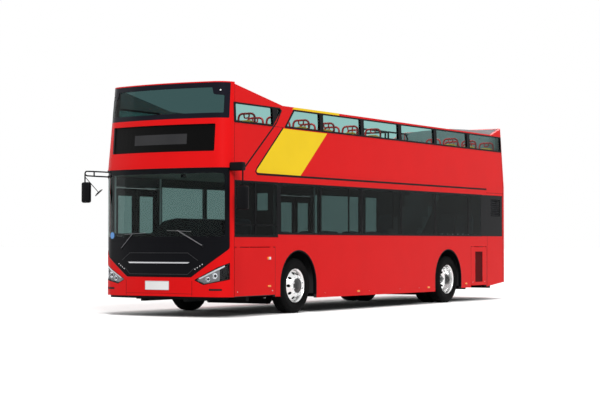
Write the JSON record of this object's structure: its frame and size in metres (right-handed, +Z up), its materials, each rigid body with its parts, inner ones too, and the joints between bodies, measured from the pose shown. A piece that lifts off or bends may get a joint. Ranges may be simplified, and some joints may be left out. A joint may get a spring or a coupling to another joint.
{
  "type": "open-top double-deck electric city bus",
  "caption": "Open-top double-deck electric city bus with low entry, gliding doors, steered front wheels and opening hatches.",
  "frame": {"origin": "on the ground, midway along the length and width of the bus", "axes": "+X forward, +Y to the bus's left, +Z up"},
  "size_m": [10.955, 3.27, 3.87],
  "materials": {
    "body_red": "gloss paint",
    "door_paint": "satin black",
    "gloss_black": "gloss",
    "dark_glass": "tinted",
    "teal_glass": "light tint",
    "lamp_clear": "clear lens",
    "lamp_red": "lens",
    "wheel_alloy": "polished",
    "tyre_rubber": "matt",
    "cast_black": "painted",
    "chassis_paint": "satin",
    "floor_grey": "matt",
    "stair_grey": "matt",
    "cab_dark": "matt",
    "seat_fabric": "woven",
    "pole_red": "gloss",
    "shell_yellow": "satin",
    "trim_grey": "satin",
    "rail_black": "satin",
    "sign_black": "gloss",
    "mirror_black": "satin",
    "post_steel": "satin",
    "pack_grey": "satin"
  },
  "bodies": {
    "body": {"battery_pack": "pack_grey", "chassis_frame": "chassis_paint", "dashboard": "cab_dark", "destination_sign": "sign_black", "front_axle_beam": "cast_black", "front_cowl": "body_red", "front_upper_glass": "teal_glass", "front_upper_panel": "body_red", "grab_rails": "rail_black", "grille_panel": "gloss_black", "lamps": "lamp_clear", "lower_floor": "floor_grey", "lower_seats": "seat_fabric", "lower_side_glass": "dark_glass", "mirrors": "mirror_black", "rear_axle": "cast_black", "rear_platform": "floor_grey", "rear_trim": "trim_grey", "rear_wall": "body_red", "side_wall_left": "body_red", "side_wall_right": "body_red", "staircase": "stair_grey", "upper_floor": "floor_grey", "upper_seat_shells": "shell_yellow", "upper_seat_frames": "pole_red", "upper_side_glass": "teal_glass", "upper_sides": "body_red", "vent_panels": "gloss_black", "wheel_boxes": "floor_grey", "windscreen": "dark_glass"},
    "knuckle_left": {"knuckle_left": "cast_black"},
    "knuckle_right": {"knuckle_right": "cast_black"},
    "tie_rod": {"tie_rod": "cast_black"},
    "wheel_front_left": {"tyre_front_left": "tyre_rubber", "rim_front_left": "wheel_alloy"},
    "wheel_front_right": {"tyre_front_right": "tyre_rubber", "rim_front_right": "wheel_alloy"},
    "wheel_rear_left": {"tyre_rear_left": "tyre_rubber", "rim_rear_left": "wheel_alloy"},
    "wheel_rear_right": {"tyre_rear_right": "tyre_rubber", "rim_rear_right": "wheel_alloy"},
    "steering_wheel": {"steering_wheel": "cab_dark"},
    "left_front_hatch": {"left_front_hatch": "body_red"},
    "left_rear_hatch": {"left_rear_hatch": "body_red"},
    "rear_hatch": {"rear_hatch": "body_red"},
    "door_front_front_post": {"door_front_front_post": "post_steel"},
    "door_front_front_leaf": {"door_front_front_leaf": "door_paint"},
    "door_front_rear_post": {"door_front_rear_post": "post_steel"},
    "door_front_rear_leaf": {"door_front_rear_leaf": "door_paint"},
    "door_middle_front_post": {"door_middle_front_post": "post_steel"},
    "door_middle_front_leaf": {"door_middle_front_leaf": "door_paint"},
    "door_middle_rear_post": {"door_middle_rear_post": "post_steel"},
    "door_middle_rear_leaf": {"door_middle_rear_leaf": "door_paint"}
  },
  "joints": [
    {"name": "steer_left", "type": "hinge", "parent": "body", "child": "knuckle_left", "pos_m": [3.0705, 0.905, 0.479], "axis": [0, 0, 1], "range_deg": [-42, 42]},
    {"name": "steer_right", "type": "hinge", "parent": "body", "child": "knuckle_right", "pos_m": [3.0705, -0.905, 0.479], "axis": [0, 0, 1], "range_deg": [-42, 42]},
    {"name": "tie_rod_pivot", "type": "hinge", "parent": "knuckle_left", "child": "tie_rod", "pos_m": [2.8405, 0.905, 0.215], "axis": [0, 0, 1], "range_deg": [-42, 42]},
    {"name": "steering_wheel_turn", "type": "hinge", "parent": "body", "child": "steering_wheel", "pos_m": [4.65313, 0.6, 1.25], "axis": [-0.5, 0, 0.866], "range_deg": [-756, 756]},
    {"name": "spin_front_left", "type": "hinge", "parent": "knuckle_left", "child": "wheel_front_left", "pos_m": [3.0705, 1.0775, 0.479], "axis": [0, 1, 0], "continuous": true},
    {"name": "spin_front_right", "type": "hinge", "parent": "knuckle_right", "child": "wheel_front_right", "pos_m": [3.0705, -1.0775, 0.479], "axis": [0, 1, 0], "continuous": true},
    {"name": "spin_rear_left", "type": "hinge", "parent": "body", "child": "wheel_rear_left", "pos_m": [-2.7795, 0.9185, 0.479], "axis": [0, 1, 0], "continuous": true},
    {"name": "spin_rear_right", "type": "hinge", "parent": "body", "child": "wheel_rear_right", "pos_m": [-2.7795, -0.9185, 0.479], "axis": [0, 1, 0], "continuous": true},
    {"name": "left_front_hatch_hinge", "type": "hinge", "parent": "body", "child": "left_front_hatch", "pos_m": [4.45, 1.267, 1.1467], "axis": [1, 0, 0], "range_deg": [0, 85]},
    {"name": "left_rear_hatch_hinge", "type": "hinge", "parent": "body", "child": "left_rear_hatch", "pos_m": [-4.1175, 1.267, 1.1387], "axis": [1, 0, 0], "range_deg": [0, 85]},
    {"name": "rear_hatch_hinge", "type": "hinge", "parent": "body", "child": "rear_hatch", "pos_m": [-5.4695, 0, 1.2417], "axis": [0, 1, 0], "range_deg": [0, 85]},
    {"name": "door_front_front_turn", "type": "hinge", "parent": "body", "child": "door_front_front_post", "pos_m": [5.07813, -1.189, 1.3], "axis": [0, 0, -1], "range_deg": [0, 86]},
    {"name": "door_front_front_glide", "type": "hinge", "parent": "door_front_front_post", "child": "door_front_front_leaf", "pos_m": [4.73888, -1.243, 1.3], "axis": [0, 0, -1], "range_deg": [-172, 0]},
    {"name": "door_front_rear_turn", "type": "hinge", "parent": "body", "child": "door_front_rear_post", "pos_m": [3.79713, -1.189, 1.3], "axis": [0, 0, 1], "range_deg": [0, 86]},
    {"name": "door_front_rear_glide", "type": "hinge", "parent": "door_front_rear_post", "child": "door_front_rear_leaf", "pos_m": [4.13638, -1.243, 1.3], "axis": [0, 0, 1], "range_deg": [-172, 0]},
    {"name": "door_middle_front_turn", "type": "hinge", "parent": "body", "child": "door_middle_front_post", "pos_m": [-0.1265, -1.189, 1.3], "axis": [0, 0, -1], "range_deg": [0, 86]},
    {"name": "door_middle_front_glide", "type": "hinge", "parent": "door_middle_front_post", "child": "door_middle_front_leaf", "pos_m": [-0.477, -1.243, 1.3], "axis": [0, 0, -1], "range_deg": [-172, 0]},
    {"name": "door_middle_rear_turn", "type": "hinge", "parent": "body", "child": "door_middle_rear_post", "pos_m": [-1.4525, -1.189, 1.3], "axis": [0, 0, 1], "range_deg": [0, 86]},
    {"name": "door_middle_rear_glide", "type": "hinge", "parent": "door_middle_rear_post", "child": "door_middle_rear_leaf", "pos_m": [-1.102, -1.243, 1.3], "axis": [0, 0, 1], "range_deg": [-172, 0]}
  ],
  "couplings": [
    {"joint": "steer_right", "follows": "steer_left", "ratio": 1},
    {"joint": "tie_rod_pivot", "follows": "steer_left", "ratio": -1},
    {"joint": "steering_wheel_turn", "follows": "steer_left", "ratio": 18},
    {"joint": "door_front_front_glide", "follows": "door_front_front_turn", "ratio": -2},
    {"joint": "door_front_rear_glide", "follows": "door_front_rear_turn", "ratio": -2},
    {"joint": "door_middle_front_glide", "follows": "door_middle_front_turn", "ratio": -2},
    {"joint": "door_middle_rear_glide", "follows": "door_middle_rear_turn", "ratio": -2}
  ]
}
